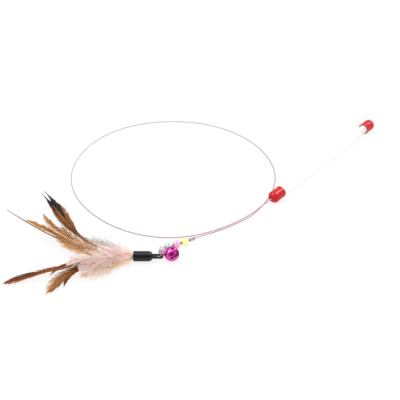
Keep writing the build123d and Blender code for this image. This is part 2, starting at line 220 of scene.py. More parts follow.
# Spring wire: thin hard-drawn steel with a rosy nylon coat, set to one wide curve.
# It leaves the front cap's dimple, comes down to the table, goes once round and ends in the ferrule.
WIRE = 1.0 * MM
WIRE_ROUTE = [
    (-0.0932, 0.0, 0.0), (-0.11, 0.0, -0.0001), (-0.134, 0.0014, -0.0011), (-0.161, 0.0103, -0.0031),
    (-0.187, 0.0263, -0.0055), (-0.21, 0.051, -0.0056), (-0.223, 0.088, -0.0056), (-0.2218, 0.13, -0.0056),
    (-0.2063, 0.1705, -0.0056), (-0.1727, 0.204, -0.0056), (-0.1247, 0.22, -0.0056),
    (-0.079, 0.213, -0.0056), (-0.042, 0.1865, -0.0056), (-0.018, 0.149, -0.0056), (-0.011, 0.1047, -0.0056),
    (-0.0223, 0.0616, -0.0056), (-0.0465, 0.0285, -0.0056), (-0.078, 0.0093, -0.0056),
    (-0.118, 0.0012, -0.0056), (-0.1468, 0.0066, -0.0056), (-0.17, 0.0149, -0.0054),
    (-0.1817, 0.018, -0.0031), (-0.1885, 0.0199, -0.0031),
]
route = bpy.data.curves.new("spring_wire", "CURVE")
route.dimensions = "3D"
line = route.splines.new("NURBS")
line.points.add(len(WIRE_ROUTE) - 1)
for point, spot in zip(line.points, WIRE_ROUTE):
    point.co = (*spot, 1)
line.order_u = 3
line.use_endpoint_u = True
line.resolution_u = 16
route.bevel_depth = WIRE / 2
route.bevel_resolution = 4
route.use_fill_caps = True
spring_wire = bpy.data.objects.new("spring_wire", route)
bpy.context.scene.collection.objects.link(spring_wire)

# The coat's rose shows on the stretch by the handle and the beads; round the loop the grey steel shows
# through, and the loop is drawn paler towards its far side
MOTTLE = 5.0 * MM
ROSE_FROM, ROSE_TO = -32 * MM, 8 * MM
FAR_PALE_FROM, FAR_PALE_TO = 35 * MM, 165 * MM
nylon_coat, tree, surface = finish(
    "nylon-coated spring steel", Roughness=0.45, IOR=1.53, Specular_IOR_Level=0.25
)
place = add(tree, "ShaderNodeTexCoord").outputs["Object"]
across = add(tree, "ShaderNodeVectorMath", {0: place, 1: (0.35, 1.0, 0.0)}, operation="DOT_PRODUCT")
mottle = add(tree, "ShaderNodeTexNoise", {"Vector": place, "Scale": 1 / MOTTLE})
rosy = add(tree, "ShaderNodeMapRange", {"Value": across, "From Min": ROSE_FROM, "From Max": ROSE_TO})
far_paler = add(tree, "ShaderNodeMapRange", {"Value": across, "From Min": FAR_PALE_FROM, "From Max": FAR_PALE_TO})
shade = linear("#BC7888")
for share, tone in ((rosy, "#8C8688"), (far_paler, "#C2BABC"), (mottle, "#A0969A")):
    shade = add(tree, "ShaderNodeMix", {"Factor": share, 6: shade, 7: linear(tone)}, data_type="RGBA")
connect(tree, surface, {"Base Color": shade})
dress(spring_wire, nylon_coat)
for node in ("wire_end_loop", "wire_root"):
    dress(nodes[node], nylon_coat)
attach(spring_wire, "wire")
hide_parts("wire_lead")


# Anchor in the handle: a clear plug that centres the wire in the tube's mouth, and behind it
# a short tin sleeve squeezed on the wire, which keeps it from pulling out.
# The plug is see-through with dull patches of haze; the sleeve is bright grey, scuffed by the tool.
HAZE = 2.0 * MM
clear_plug, tree, surface = finish(
    "moulded clear vinyl", Base_Color=linear("#EEF0EF"), IOR=1.53, Transmission_Weight=0.7
)
place = add(tree, "ShaderNodeTexCoord").outputs["Object"]
haze = add(tree, "ShaderNodeTexNoise", {"Vector": place, "Scale": 1 / HAZE})
dull = add(tree, "ShaderNodeMapRange", {"Value": haze, "To Min": 0.12, "To Max": 0.35})
connect(tree, surface, {"Roughness": dull})
dress(nodes["anchor_plug"], clear_plug)

TOOL_MARK = 0.35 * MM
tinned, tree, surface = finish("tinned copper sleeve", Metallic=1.0)
place = add(tree, "ShaderNodeTexCoord").outputs["Object"]
marks = add(tree, "ShaderNodeTexNoise", {"Vector": place, "Scale": 1 / TOOL_MARK, "Detail": 3.0})
shade = add(tree, "ShaderNodeMix", {
    "Factor": marks, 6: linear("#9A989A"), 7: linear("#C9C7C4"),
}, data_type="RGBA")
dull = add(tree, "ShaderNodeMapRange", {"Value": marks, "To Min": 0.25, "To Max": 0.45})
relief = add(tree, "ShaderNodeBump", {"Height": marks, "Strength": 0.3, "Distance": 0.03 * MM})
connect(tree, surface, {"Base Color": shade, "Roughness": dull, "Normal": relief})
dress(nodes["anchor_ferrule"], tinned)


# End ferrule: an oval tinned sleeve over both strands of the doubled wire.
# Two bites of the crimping tool pinch its waist and leave its ends a little flared.
FERRULE_START = Vector((-0.188463, 0.019854, -0.0024))
FERRULE_TURN = math.radians(34.2)
FERRULE_LENGTH = 6.0 * MM
FERRULE_TALL = 1.8 * MM
FERRULE_WIDE = 1.1 * MM
BITES = (0.3, 0.7)
BITE_DEPTH = 0.3
BITE_REACH = 0.13
WAIST_REACH = 0.7
RIM_ROUND = 0.12
RIM_REACH = 0.04
FLARE = 0.05
FLARE_PLACE = 0.05
RING_POINTS = 48
strand_gap = FERRULE_TALL - FERRULE_WIDE
ferrule_way = Vector((-0.6441, 0.7649, 0)) * math.cos(FERRULE_TURN)
ferrule_way += Vector((-0.7649, -0.6441, 0)) * math.sin(FERRULE_TURN)
ferrule_side = ferrule_way.cross((0, 0, 1))
mesh = bmesh.new()
rings = []
stations = [0, 0.02, 0.05, *(0.1 + 0.8 * i / 24 for i in range(25)), 0.95, 0.98, 1]
for station in stations:
    end = min(station, 1 - station)
    rim = 1 - RIM_ROUND * max(0, 1 - end / RIM_REACH) ** 2
    flare = 1 + FLARE * math.exp(-((end - FLARE_PLACE) / RIM_REACH) ** 2)
    pinch = sum(math.exp(-((station - bite) / BITE_REACH) ** 4) for bite in BITES)
    ring = []
    for i in range(RING_POINTS):
        angle = 2 * math.pi * i / RING_POINTS
        wide = FERRULE_WIDE * math.cos(angle) * rim * flare
        tall = FERRULE_WIDE * math.sin(angle) * rim * flare + math.copysign(strand_gap, math.sin(angle))
        waist = math.exp(-(tall / (WAIST_REACH * strand_gap)) ** 2)
        wide *= 1 - BITE_DEPTH * pinch * waist
        spot = FERRULE_START + ferrule_way * FERRULE_LENGTH * station + ferrule_side * wide
        ring.append(mesh.verts.new(spot + Vector((0, 0, tall))))
    rings.append(ring)
for low, high in zip(rings, rings[1:]):
    for i in range(RING_POINTS):
        j = (i + 1) % RING_POINTS
        mesh.faces.new((low[i], low[j], high[j], high[i])).smooth = True
mesh.faces.new(rings[0])
mesh.faces.new(rings[-1])
bmesh.ops.recalc_face_normals(mesh, faces=mesh.faces)
end_ferrule = bpy.data.objects.new("end_ferrule_crimped", bpy.data.meshes.new("end_ferrule_crimped"))
mesh.to_mesh(end_ferrule.data)
mesh.free()
bpy.context.scene.collection.objects.link(end_ferrule)
dress(end_ferrule, tinned)
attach(end_ferrule, "wire")
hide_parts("end_ferrule")


# Beads: four round pony beads of tinted polystyrene, moulded with a wide bore for both strands.
# The mould leaves softened bore rims, a faint parting line round the middle and swirls in the glossy tint.
BEAD_RADIUS = 3.7 * MM
BEAD_BORE = 1.35 * MM
RIM = 0.28 * MM
PARTING = 0.035 * MM
PARTING_REACH = 0.12 * MM
rim_reach = math.sqrt((BEAD_RADIUS - RIM) ** 2 - (BEAD_BORE + RIM) ** 2)
rim_angle = math.degrees(math.atan2(BEAD_BORE + RIM, rim_reach))
ball = arc(0, 0, BEAD_RADIUS, 180 - rim_angle, rim_angle, 40)
ball = [(x, r + PARTING * math.exp(-(x / PARTING_REACH) ** 2)) for x, r in ball]
bead_outline = [
    *arc(-rim_reach, BEAD_BORE + RIM, RIM, 270, 180 - rim_angle, 5)[:-1],
    *ball,
    *arc(rim_reach, BEAD_BORE + RIM, RIM, rim_angle, -90, 5)[1:],
    *((rim_reach * share, BEAD_BORE) for share in (0.5, 0, -0.5)),
]
BEAD_SWIRL = 2.5 * MM
BEAD_TINTS = {
    "yellow": ("#F7F87C", "#FEFFB4", 0.1),
    "pink": ("#F4A8D2", "#FCD0E8", 0.25),
    "green": ("#A5DEC6", "#D2F0E4", 0.3),
    "clear": ("#DCC6D4", "#F4EAF1", 0.6),
}
for tint, (deep, pale, clearness) in BEAD_TINTS.items():
    spin = joints[f"{tint}_bead_spin"]
    bead = turned(f"{tint}_pony_bead", bead_outline, spin["pos_m"], spin["axis"], 64)
    styrene, tree, surface = finish(
        f"moulded {tint} polystyrene", Roughness=0.12, IOR=1.59, Transmission_Weight=clearness,
        Subsurface_Weight=0.25, Subsurface_Scale=2 * MM, Subsurface_Radius=(1.0, 1.0, 1.0),
    )
    place = add(tree, "ShaderNodeTexCoord").outputs["Object"]
    swirl = add(tree, "ShaderNodeTexNoise", {"Vector": place, "Scale": 1 / BEAD_SWIRL, "Distortion": 1.5})
    shade = add(tree, "ShaderNodeMix", {
        "Factor": swirl, 6: linear(deep), 7: linear(pale),
    }, data_type="RGBA")
    relief = add(tree, "ShaderNodeBump", {"Height": swirl, "Strength": 0.2, "Distance": 0.03 * MM})
    connect(tree, surface, {"Base Color": shade, "Normal": relief})
    dress(bead, styrene)
    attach(bead, f"{tint}_bead")
    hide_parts(f"bead_{tint}")


# Bell: a jingle bell stamped from thin steel, closed to a ball with a cross of slots, and lacquered.
# Clear magenta lacquer over bright plating gives it a metallic colour with sharp white lights.
# The loose pellet in it is a plain steel ball, tumbled to a scuffed grey.
PLATING_DENT = 3.0 * MM
lacquer, tree, surface = finish(
    "magenta lacquer on plated steel", Metallic=1.0, Roughness=0.16, Specular_Tint=linear("#F060C4"),
    Coat_Weight=1.0, Coat_Roughness=0.03, Coat_IOR=1.6,
)
place = add(tree, "ShaderNodeTexCoord").outputs["Object"]
pool = add(tree, "ShaderNodeTexNoise", {"Vector": place, "Scale": 1 / PLATING_DENT})
shade = add(tree, "ShaderNodeMix", {
    "Factor": pool, 6: linear("#C00A86"), 7: linear("#EA28B0"),
}, data_type="RGBA")
relief = add(tree, "ShaderNodeBump", {"Height": pool, "Strength": 0.25, "Distance": 0.08 * MM})
connect(tree, surface, {"Base Color": shade, "Normal": relief})
dress(nodes["bell_shell"], lacquer)
dress(nodes["bell_shank"], lacquer)

PELLET_SCRATCH = 0.4 * MM
pellet_steel, tree, surface = finish("tumbled steel", Metallic=1.0, Base_Color=linear("#8E8C8A"))
place = add(tree, "ShaderNodeTexCoord").outputs["Object"]
scratch = add(tree, "ShaderNodeTexNoise", {"Vector": place, "Scale": 1 / PELLET_SCRATCH, "Detail": 4.0})
dull = add(tree, "ShaderNodeMapRange", {"Value": scratch, "To Min": 0.3, "To Max": 0.6})
connect(tree, surface, {"Roughness": dull})
dress(nodes["bell_pellet"], pellet_steel)


# Feather holder: a black polypropylene cap with a flat eye, moulded in one piece with a satin skin.
# The quills are set in its mouth in a plug of hot-melt glue, which is milky, with small bubbles.
# The mould's real grain is too fine to show, and is drawn some ten times as coarse
SPARK_GRAIN = 0.5 * MM
black_pp, tree, surface = finish("moulded black polypropylene", IOR=1.49, Specular_IOR_Level=0.35)
place = add(tree, "ShaderNodeTexCoord").outputs["Object"]
grain = add(tree, "ShaderNodeTexNoise", {"Vector": place, "Scale": 1 / SPARK_GRAIN, "Detail": 3.0})
shade = add(tree, "ShaderNodeMix", {
    "Factor": grain, 6: linear("#0A090E"), 7: linear("#15131B"),
}, data_type="RGBA")
dull = add(tree, "ShaderNodeMapRange", {"Value": grain, "To Min": 0.14, "To Max": 0.22})
relief = add(tree, "ShaderNodeBump", {"Height": grain, "Strength": 0.25, "Distance": 0.03 * MM})
connect(tree, surface, {"Base Color": shade, "Roughness": dull, "Normal": relief})
dress(nodes["feather_cap"], black_pp)

GLUE_BUBBLE = 0.8 * MM
hot_glue, tree, surface = finish(
    "hot-melt glue", Roughness=0.35, IOR=1.48, Subsurface_Weight=0.4, Subsurface_Scale=2 * MM
)
place = add(tree, "ShaderNodeTexCoord").outputs["Object"]
bubble = add(tree, "ShaderNodeTexNoise", {"Vector": place, "Scale": 1 / GLUE_BUBBLE})
shade = add(tree, "ShaderNodeMix", {
    "Factor": bubble, 6: linear("#D9CDB4"), 7: linear("#F1EADB"),
}, data_type="RGBA")
connect(tree, surface, {"Base Color": shade})
dress(nodes["quill_glue"], hot_glue)


# Feathers: rooster hackle and saddle feathers, each a tapering shaft with a flat vane of fine barbs.
# The shaft's quill end is set in the holder's glue; the barbs lean towards the tip and part in places.
QUILL = 1.0 * MM
QUILL_SET = 10.0 * MM
QUILL_CIRCLE = 3.2 * MM
MOUTH = 24.95 * MM
LURE_HEADING = math.radians(130.1)
TABLE = cad_box[0][2]
TABLE_GAP = 0.15 * MM
eye = Vector(joints["lure_swing"]["pos_m"])
along_way = Vector((math.cos(LURE_HEADING), math.sin(LURE_HEADING), 0))
near_way = Vector((-math.sin(LURE_HEADING), math.cos(LURE_HEADING), 0))

MATH = "ShaderNodeMath"
VECTOR_MATH = "ShaderNodeVectorMath"
RANGE = "ShaderNodeMapRange"
STORE = "GeometryNodeStoreNamedAttribute"
RECALL = "GeometryNodeInputNamedAttribute"
plumage = bpy.data.node_groups.new("plumage", "GeometryNodeTree")
PLUMAGE_INPUTS = {
    "Shaft": "Geometry", "Quill Set": "Float", "Vane Start": "Float", "Widest": "Float", "Width": "Float",
    "Near Share": "Float", "Down Width": "Float", "Tip Power": "Float", "Tip Reach": "Float", "Barbs": "Int",
    "Lock": "Int", "Barb Width": "Float", "Barb Thickness": "Float", "Lean": "Float", "Parting": "Float",
    "Spread": "Float", "Curl": "Float", "Droop": "Float", "Wave": "Float", "Wave Size": "Float",
    "Stray": "Float", "Shaft Radius": "Float", "Shaft Tip": "Float", "Table": "Float", "Seed": "Int",
    "Finish": "Material",
}
for name, kind in PLUMAGE_INPUTS.items():
    plumage.interface.new_socket(name, in_out="INPUT", socket_type=f"NodeSocket{kind}")
plumage.interface.new_socket("Plumage", in_out="OUTPUT", socket_type="NodeSocketGeometry")
given = plumage.nodes.new("NodeGroupInput").outputs

# The free stretch of the shaft, with barbs rooted on it left and right in turn: down first, then the vane.
# Barbs that cling in one lock share a tint and a swing
TINT_SEED = 3.0
SWING_SEED = 7.0
OWN_SWING = 0.25
length = add(plumage, "GeometryNodeCurveLength", {"Curve": given["Shaft"]})
free_line = add(plumage, "GeometryNodeTrimCurve", {
    "Curve": given["Shaft"], 4: given["Quill Set"], 5: add(plumage, "GeometryNodeSplineLength"),
}, mode="LENGTH")
roots = add(plumage, "GeometryNodeCurveToPoints", {"Curve": free_line, "Count": given["Barbs"]})
forward = roots.outputs["Tangent"]
index = add(plumage, "GeometryNodeInputIndex")
last = add(plumage, MATH, {0: given["Barbs"], 1: 1.0}, operation="SUBTRACT")
in_row = add(plumage, MATH, {0: index, 1: given["Barbs"]}, operation="MODULO")
along = add(plumage, MATH, {0: in_row, 1: last}, operation="DIVIDE")
odd = add(plumage, MATH, {0: index, 1: 2.0}, operation="MODULO")
side = add(plumage, MATH, {0: odd, 1: 2.0, 2: -1.0}, operation="MULTIPLY_ADD")
lock = add(plumage, MATH, {0: index, 1: given["Lock"]}, operation="DIVIDE")
lock = add(plumage, MATH, {0: lock}, operation="FLOOR")
chance = add(plumage, "FunctionNodeRandomValue", {"ID": index, "Seed": given["Seed"]})
tint_seed = add(plumage, MATH, {0: given["Seed"], 1: TINT_SEED}, operation="ADD")
tint = add(plumage, "FunctionNodeRandomValue", {"ID": lock, "Seed": tint_seed})
swing_seed = add(plumage, MATH, {0: given["Seed"], 1: SWING_SEED}, operation="ADD")
swing = add(plumage, "FunctionNodeRandomValue", {2: -1.0, 3: 1.0, "ID": lock, "Seed": swing_seed})
own_swing = add(plumage, MATH, {0: chance, 1: 0.5}, operation="SUBTRACT")
swing = add(plumage, MATH, {0: own_swing, 1: OWN_SWING, 2: swing}, operation="MULTIPLY_ADD")

# Outline: the width grows smoothly from the down to the widest place and runs out to the tip
DOWN_FROM = 0.4
DOWN_TO = 1.05
DOWN_PAST = 0.01
swell = add(plumage, RANGE, {
    "Value": along, "From Min": given["Vane Start"], "From Max": given["Widest"],
    "To Min": given["Down Width"], "To Max": given["Width"],
}, interpolation_type="SMOOTHSTEP")
past = add(plumage, RANGE, {"Value": along, "From Min": given["Widest"], "From Max": 1.0})
gone = add(plumage, MATH, {0: past, 1: past}, operation="MULTIPLY")
taper = add(plumage, MATH, {0: 1.0, 1: gone}, operation="SUBTRACT")
taper = add(plumage, MATH, {0: taper, 1: given["Tip Power"]}, operation="POWER")
full_width = add(plumage, MATH, {0: swell, 1: taper}, operation="MULTIPLY")
share = add(plumage, RANGE, {"Value": side, "From Min": -1.0, "To Min": given["Near Share"], "To Max": 1.0})
share = add(plumage, MATH, {0: share, 1: 0.5}, operation="MULTIPLY")
half_width = add(plumage, MATH, {0: full_width, 1: share}, operation="MULTIPLY")
vane = add(plumage, RANGE, {"Value": along, "From Min": given["Vane Start"], "From Max": 1.0})
down_from = add(plumage, MATH, {0: given["Vane Start"], 1: DOWN_FROM}, operation="MULTIPLY")
down_to = add(plumage, MATH, {0: given["Vane Start"], 1: DOWN_TO, 2: DOWN_PAST}, operation="MULTIPLY_ADD")
down = add(plumage, RANGE, {
    "Value": along, "From Min": down_from, "From Max": down_to, "To Min": 1.0, "To Max": 0.0,
}, interpolation_type="SMOOTHSTEP")

# Lean of each barb towards the tip: steeper at the tip, with neighbours clumped together by a slow noise
CLUMPS = 9.0
SIDE_APART = 31.0
TIP_LEAN = -0.45
SCATTER = 0.3
LEAST_LEAN = 0.12
DOWN_ROLL = 1.1
side_place = add(plumage, MATH, {0: side, 1: SIDE_APART, 2: given["Seed"]}, operation="MULTIPLY_ADD")
clump_place = add(plumage, MATH, {0: along, 1: CLUMPS, 2: side_place}, operation="MULTIPLY_ADD")
clump = add(plumage, "ShaderNodeTexNoise", {
    "W": clump_place, "Scale": 1.0, "Detail": 2.0, "Roughness": 0.7,
}, noise_dimensions="1D")
upright = add(plumage, MATH, {0: along, 1: TIP_LEAN, 2: 1.0}, operation="MULTIPLY_ADD")
upright = add(plumage, MATH, {0: given["Lean"], 1: upright}, operation="MULTIPLY")
clumped = add(plumage, MATH, {0: clump, 1: 0.5}, operation="SUBTRACT")
clumped = add(plumage, MATH, {0: clumped, 1: given["Parting"]}, operation="MULTIPLY")
scatter = add(plumage, MATH, {0: swing, 1: SCATTER}, operation="MULTIPLY")
scatter = add(plumage, MATH, {0: scatter, 1: given["Parting"]}, operation="MULTIPLY")
parted = add(plumage, MATH, {0: clumped, 1: scatter}, operation="ADD")
lean = add(plumage, MATH, {0: upright, 1: parted}, operation="ADD")
lean = add(plumage, MATH, {0: lean, 1: LEAST_LEAN}, operation="MAXIMUM")
across = add(plumage, VECTOR_MATH, {0: forward, 1: (0.0, 0.0, 1.0)}, operation="CROSS_PRODUCT")
across = add(plumage, VECTOR_MATH, {0: across}, operation="NORMALIZE")
up = add(plumage, VECTOR_MATH, {0: across, 1: forward}, operation="CROSS_PRODUCT")
roll = add(plumage, MATH, {0: down, 1: DOWN_ROLL, 2: given["Spread"]}, operation="MULTIPLY_ADD")
roll = add(plumage, MATH, {0: swing, 1: roll}, operation="MULTIPLY")
flat = add(plumage, MATH, {0: roll}, operation="COSINE")
flat = add(plumage, MATH, {0: side, 1: flat}, operation="MULTIPLY")
raised = add(plumage, MATH, {0: roll}, operation="SINE")
outward = add(plumage, VECTOR_MATH, {
    0: add(plumage, VECTOR_MATH, {0: across, "Scale": flat}, operation="SCALE"),
    1: add(plumage, VECTOR_MATH, {0: up, "Scale": raised}, operation="SCALE"),
}, operation="ADD")
onward = add(plumage, MATH, {0: lean}, operation="COSINE")
aside = add(plumage, MATH, {0: lean}, operation="SINE")
barb_way = add(plumage, VECTOR_MATH, {
    0: add(plumage, VECTOR_MATH, {0: forward, "Scale": onward}, operation="SCALE"),
    1: add(plumage, VECTOR_MATH, {0: outward, "Scale": aside}, operation="SCALE"),
}, operation="ADD")

# Length of each barb: what the outline asks, uneven by chance, and never far past the tip
SHORTEST = 0.85
UNEVEN = 0.25
AHEAD = 0.65
LEAST_BARB = 0.4 * MM
steep = add(plumage, MATH, {0: upright}, operation="SINE")
barb_length = add(plumage, MATH, {0: half_width, 1: steep}, operation="DIVIDE")
uneven = add(plumage, MATH, {0: chance, 1: UNEVEN, 2: SHORTEST}, operation="MULTIPLY_ADD")
barb_length = add(plumage, MATH, {0: barb_length, 1: uneven}, operation="MULTIPLY")
free_length = add(plumage, MATH, {0: length, 1: given["Quill Set"]}, operation="SUBTRACT")
ahead = add(plumage, MATH, {0: 1.0, 1: along}, operation="SUBTRACT")
ahead = add(plumage, MATH, {0: ahead, 1: AHEAD}, operation="MULTIPLY")
ahead = add(plumage, MATH, {0: ahead, 1: free_length, 2: given["Tip Reach"]}, operation="MULTIPLY_ADD")
barb_length = add(plumage, MATH, {0: barb_length, 1: ahead}, operation="MINIMUM")
barb_length = add(plumage, MATH, {0: barb_length, 1: LEAST_BARB}, operation="MAXIMUM")
points = roots
barb_facts = {"vane": vane, "down": down, "side": side, "tint": tint, "clump": clump, "reach": barb_length}
for name, value in barb_facts.items():
    points = add(plumage, STORE, {"Geometry": points, "Name": name, "Value": value})
points = add(plumage, STORE, {
    "Geometry": points, "Name": "forward", "Value": forward,
}, data_type="FLOAT_VECTOR")

# One barb: a flat four-sided spike one unit long, which keeps the share of its length as it is bent
DOWN_SLIM = -0.6
spike = add(plumage, "GeometryNodeMeshCone", {
    "Vertices": 4, "Side Segments": 5, "Radius Top": 0.2, "Radius Bottom": 0.5, "Depth": 1.0,
})
spot = add(plumage, "GeometryNodeInputPosition")
spike_height = add(plumage, "ShaderNodeSeparateXYZ", {0: spot}).outputs[2]
barb = add(plumage, STORE, {"Geometry": spike, "Name": "out", "Value": spike_height})
barb_turn = add(plumage, "FunctionNodeAxesToRotation", {
    0: barb_way, 1: forward,
}, primary_axis="Z", secondary_axis="X")
slim = add(plumage, MATH, {0: down, 1: DOWN_SLIM, 2: 1.0}, operation="MULTIPLY_ADD")
slim = add(plumage, MATH, {0: given["Barb Width"], 1: slim}, operation="MULTIPLY")
barb_size = add(plumage, "ShaderNodeCombineXYZ", {0: slim, 1: given["Barb Thickness"], 2: barb_length})
barbs = add(plumage, "GeometryNodeInstanceOnPoints", {
    "Points": points, "Instance": barb, "Rotation": barb_turn, "Scale": barb_size,
})
barbs = add(plumage, "GeometryNodeRealizeInstances", {"Geometry": barbs})

# Bend of the barbs: forward and down towards their ends, with a wave that strays from barb to barb
kept = {name: add(plumage, RECALL, {"Name": name}) for name in ("out", "reach", "tint", "down")}
kept_forward = add(plumage, RECALL, {"Name": "forward"}, data_type="FLOAT_VECTOR")
free = add(plumage, MATH, {0: kept["out"], 1: kept["out"]}, operation="MULTIPLY")
free = add(plumage, MATH, {0: kept["reach"], 1: free}, operation="MULTIPLY")
curl = add(plumage, MATH, {0: free, 1: given["Curl"]}, operation="MULTIPLY")
bend = add(plumage, VECTOR_MATH, {0: kept_forward, "Scale": curl}, operation="SCALE")
droop = add(plumage, MATH, {0: free, 1: given["Droop"]}, operation="MULTIPLY")
drop = add(plumage, "ShaderNodeCombineXYZ", {2: droop})
stray = add(plumage, MATH, {0: kept["tint"], 1: given["Stray"]}, operation="MULTIPLY")
waves = add(plumage, MATH, {0: 1.0, 1: given["Wave Size"]}, operation="DIVIDE")
ripple = add(plumage, "ShaderNodeTexNoise", {
    "Vector": spot, "W": stray, "Scale": waves, "Detail": 1.0,
}, noise_dimensions="4D").outputs["Color"]
ripple = add(plumage, VECTOR_MATH, {0: ripple, 1: (0.5, 0.5, 0.5)}, operation="SUBTRACT")
loose = add(plumage, MATH, {0: kept["down"], 1: given["Wave"]}, operation="ADD")
loose = add(plumage, MATH, {0: free, 1: loose}, operation="MULTIPLY")
wave = add(plumage, VECTOR_MATH, {0: ripple, "Scale": loose}, operation="SCALE")
offset = add(plumage, VECTOR_MATH, {0: bend, 1: wave}, operation="ADD")
offset = add(plumage, VECTOR_MATH, {0: offset, 1: drop}, operation="SUBTRACT")

# Nothing goes below the table: barbs that reach it lie on it, one on another
PILE = 0.8 * MM
bent = add(plumage, VECTOR_MATH, {0: spot, 1: offset}, operation="ADD")
bent = add(plumage, "ShaderNodeSeparateXYZ", {0: bent}).outputs
lowest = add(plumage, MATH, {0: kept["tint"], 1: PILE, 2: given["Table"]}, operation="MULTIPLY_ADD")
laid = add(plumage, MATH, {0: bent[2], 1: lowest}, operation="MAXIMUM")
laid = add(plumage, "ShaderNodeCombineXYZ", {0: bent[0], 1: bent[1], 2: laid})
barbs = add(plumage, "GeometryNodeSetPosition", {"Geometry": barbs, "Position": laid})

# Shaft: full at the quill, thinning to the tip, and down-coloured until its vane is well begun
SHAFT_POINTS = 72
SHAFT_DOWN_FROM = 0.8
SHAFT_DOWN_TO = 1.15
SHAFT_DOWN_PAST = 0.03
progress = add(plumage, "GeometryNodeSplineParameter")
thin = add(plumage, RANGE, {"Value": progress, "To Min": given["Shaft Radius"], "To Max": given["Shaft Tip"]})
down_from = add(plumage, MATH, {0: given["Vane Start"], 1: SHAFT_DOWN_FROM}, operation="MULTIPLY")
down_to = add(plumage, MATH, {
    0: given["Vane Start"], 1: SHAFT_DOWN_TO, 2: SHAFT_DOWN_PAST,
}, operation="MULTIPLY_ADD")
shaft_down = add(plumage, RANGE, {
    "Value": progress, "From Min": down_from, "From Max": down_to, "To Min": 1.0, "To Max": 0.0,
})
even = add(plumage, "GeometryNodeResampleCurve", {"Curve": given["Shaft"], "Count": SHAFT_POINTS})
for name, value in {"shaft": 1.0, "down": shaft_down, "vane": progress}.items():
    even = add(plumage, STORE, {"Geometry": even, "Name": name, "Value": value})
round_section = add(plumage, "GeometryNodeCurvePrimitiveCircle", {"Resolution": 8, "Radius": 1.0})
shaft = add(plumage, "GeometryNodeCurveToMesh", {
    "Curve": even, "Profile Curve": round_section, "Scale": thin, "Fill Caps": True,
})
whole = add(plumage, "GeometryNodeJoinGeometry", {"Geometry": barbs})
connect(plumage, whole, {"Geometry": shaft})
whole = add(plumage, "GeometryNodeRealizeInstances", {"Geometry": whole})
whole = add(plumage, "GeometryNodeSetShadeSmooth", {"Geometry": whole})
whole = add(plumage, "GeometryNodeSetMaterial", {"Geometry": whole, "Material": given["Finish"]})
add(plumage, "NodeGroupOutput", {0: whole})


def grow(name, seat, routes, vane, values):
    """Feather or tuft on the curves of its shafts, baked to a plain mesh.

    The seat is on the circle of quills in the mouth, from -1 to 1 each way; the routes' places are
    millimetres ahead of the mouth, to the near side and up; the vane has its width in millimetres, and the
    shares of the free shaft at which it starts and is widest.
    """
    def spot(ahead, near, rise):
        return eye + along_way * (MOUTH + ahead * MM) + near_way * near * MM + Vector((0, 0, rise * MM))

    mouth = spot(0, seat[0] * QUILL_CIRCLE / MM, seat[1] * QUILL_CIRCLE / MM)
    quill_end = mouth - along_way * QUILL_SET
    third = along_way * QUILL_SET / 3
    curve = bpy.data.curves.new(f"{name}_shaft", "CURVE")
    curve.dimensions = "3D"
    curve.resolution_u = 48
    for bend_1, bend_2, tip in routes:
        spline = curve.splines.new("BEZIER")
        spline.bezier_points.add(2)
        handles = (
            (quill_end - third, quill_end, quill_end + third),
            (mouth - third, mouth, spot(*bend_1)),
            (spot(*bend_2), spot(*tip), spot(*tip) * 2 - spot(*bend_2)),
        )
        for point, (left, middle, right) in zip(spline.bezier_points, handles):
            point.handle_left_type = point.handle_right_type = "FREE"
            point.handle_left, point.co, point.handle_right = left, middle, right
    grower = bpy.data.objects.new(f"{name}_grower", curve)
    bpy.context.scene.collection.objects.link(grower)
    modifier = grower.modifiers.new("plumage", "NODES")
    modifier.node_group = plumage
    width, vane_start, widest = vane
    settings = {
        "Quill Set": QUILL_SET, "Vane Start": vane_start, "Width": width * MM, "Widest": widest,
        "Near Share": 1.0, "Table": TABLE + TABLE_GAP, **values,
    }
    for item in plumage.interface.items_tree:
        if item.name in settings:
            modifier[item.identifier] = settings[item.name]
    ready = grower.evaluated_get(bpy.context.evaluated_depsgraph_get())
    mesh = bpy.data.meshes.new_from_object(ready)
    mesh.name = name
    feather = bpy.data.objects.new(name, mesh)
    bpy.data.objects.remove(grower)
    bpy.context.scene.collection.objects.link(feather)
    return feather


PALE_FROM, PALE_TO = 0.45, 0.62
EDGE_FADE = 0.3
STREAK_START, STREAK_FULL = -0.1, 1.2
STREAK_FADE = 0.08
DARKEST_BARB, LIGHTEST_BARB = 0.82, 1.18
STRONGER = 1.1


